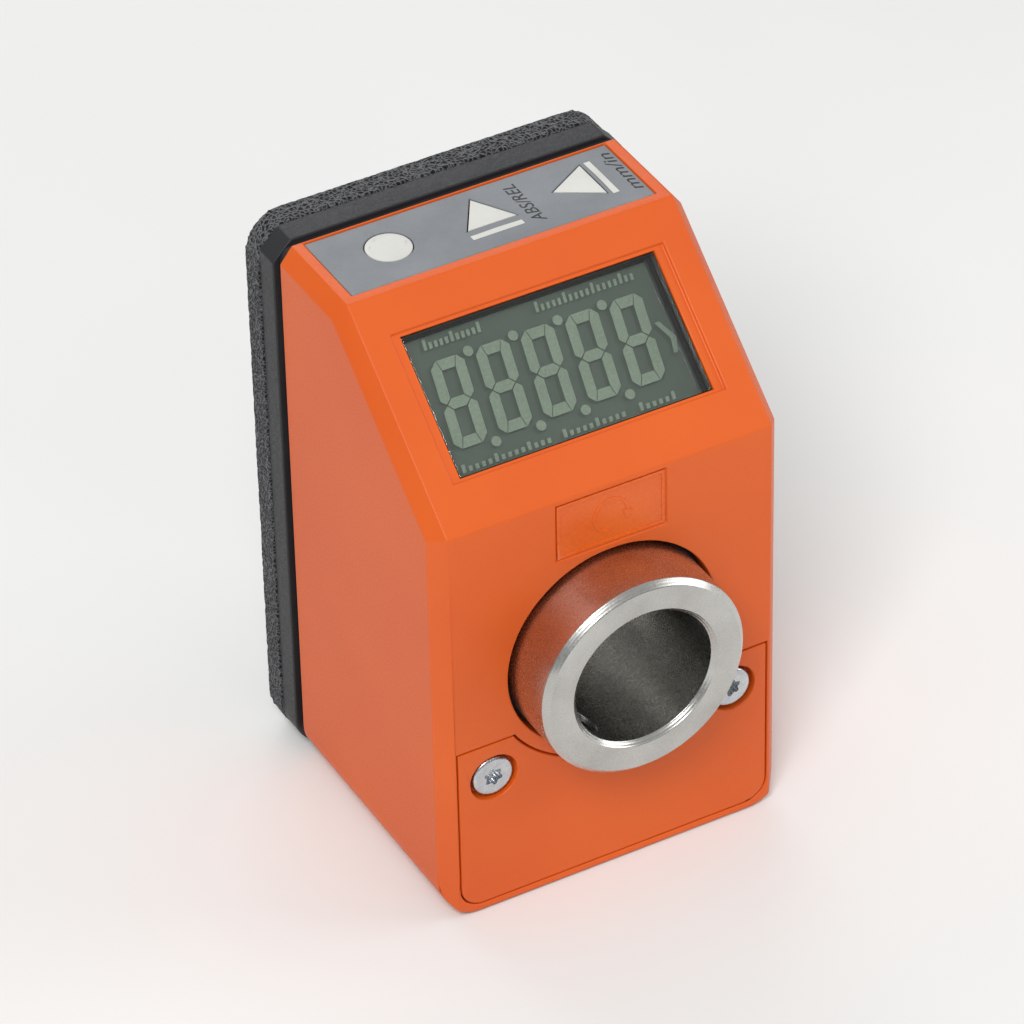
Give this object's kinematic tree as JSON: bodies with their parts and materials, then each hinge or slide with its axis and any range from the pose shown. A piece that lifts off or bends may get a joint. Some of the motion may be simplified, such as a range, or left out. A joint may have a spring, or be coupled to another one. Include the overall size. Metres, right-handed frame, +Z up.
{
  "type": "dial indicator",
  "caption": "Hollow-shaft digital position indicator with a sloped display, a keypad on top, a through bore and a rear foam seal.",
  "frame": {"origin": "on the spindle bore's axis, in the plane of the machine face that the indicator is fitted against", "axes": "+Y along the bore, towards the machine; +Z up, towards the keypad; +X to the right seen from the front"},
  "size_m": [0.0524, 0.0639, 0.0841],
  "materials": {
    "orange_plastic": "satin, fine-textured orange technopolymer",
    "black_plastic": "matt black technopolymer",
    "foam": "black closed-cell foam, coarse cells",
    "black_rubber": "matt black rubber",
    "turned_steel": "fine turned stainless steel",
    "bright_screws": "bright screw steel",
    "blued_steel": "black-oxide steel",
    "spring_steel": "nickel-plated spring steel",
    "acetal": "off-white acetal",
    "magnet": "dark plastic-bonded magnet",
    "board": "green solder mask",
    "chip": "black moulded chip body",
    "connector": "cream connector plastic",
    "flex": "amber polyimide",
    "clear_pane": "clear polycarbonate",
    "display_glass": "grey-green liquid crystal cell",
    "white_sheet": "white reflector film",
    "zebra": "grey conductive elastomer",
    "keypad_grey": "grey printed polyester",
    "key_white": "white printed polyester",
    "cell_steel": "nickel-plated steel can",
    "label": "blank glossy plate"
  },
  "bodies": {
    "housing": {"front_case": "orange_plastic", "rear_base": "black_plastic", "base_gasket": "black_rubber", "foam_seal": "foam", "anti_rotation_pin": "bright_screws", "base_screws": "blued_steel", "front_bush": "acetal", "rear_bush": "acetal", "main_board": "board", "encoder_sensor": "chip", "board_chips": "chip", "flex_connectors": "connector", "board_screws": "bright_screws", "display_flex": "flex", "keypad_flex": "flex", "lcd_window": "clear_pane", "lcd_frame": "black_plastic", "lcd_glass": "display_glass", "lcd_reflector": "white_sheet", "zebra_strips": "zebra", "display_board": "board", "key_membrane": "keypad_grey", "keypad_board": "board", "key_switches": "chip", "keypad_screws": "bright_screws", "battery_tray": "black_plastic", "battery_contact_positive": "spring_steel", "battery_contact_negative": "spring_steel", "label_plate": "label"},
    "hub": {"spindle_hub": "turned_steel", "hub_o_ring": "black_rubber", "retaining_ring": "blued_steel", "encoder_ring": "magnet"},
    "grub": {"grub_screw": "blued_steel"},
    "round_key": {"key_round": "key_white"},
    "up_key": {"key_up": "key_white"},
    "left_key": {"key_left": "key_white"},
    "cover": {"battery_cover": "orange_plastic", "cover_screws": "bright_screws", "cover_seal": "black_rubber"},
    "cell": {"battery": "cell_steel"}
  },
  "joints": [
    {"name": "hub_spin", "type": "hinge", "parent": "housing", "child": "hub", "pos_m": [0, -0.028, 0], "axis": [0, 1, 0], "continuous": true},
    {"name": "grub_travel", "type": "slide", "parent": "hub", "child": "grub", "axis": [0.7193, 0, 0.6947], "range_m": [0, 0.0015]},
    {"name": "round_key_press", "type": "slide", "parent": "housing", "child": "round_key", "axis": [0, 0, -1], "range_m": [0, 0.0003], "stiffness_N_per_m": 2500},
    {"name": "up_key_press", "type": "slide", "parent": "housing", "child": "up_key", "axis": [0, 0, -1], "range_m": [0, 0.0003], "stiffness_N_per_m": 2500},
    {"name": "left_key_press", "type": "slide", "parent": "housing", "child": "left_key", "axis": [0, 0, -1], "range_m": [0, 0.0003], "stiffness_N_per_m": 2500},
    {"name": "cover_lift", "type": "slide", "parent": "housing", "child": "cover", "axis": [0, -1, 0], "range_m": [0, 0.04]},
    {"name": "cell_slide", "type": "slide", "parent": "housing", "child": "cell", "axis": [0, -1, 0], "range_m": [0, 0.03]}
  ],
  "couplings": [
    {"joint": "cell_slide", "follows": "cover_lift", "ratio": 0.75}
  ]
}
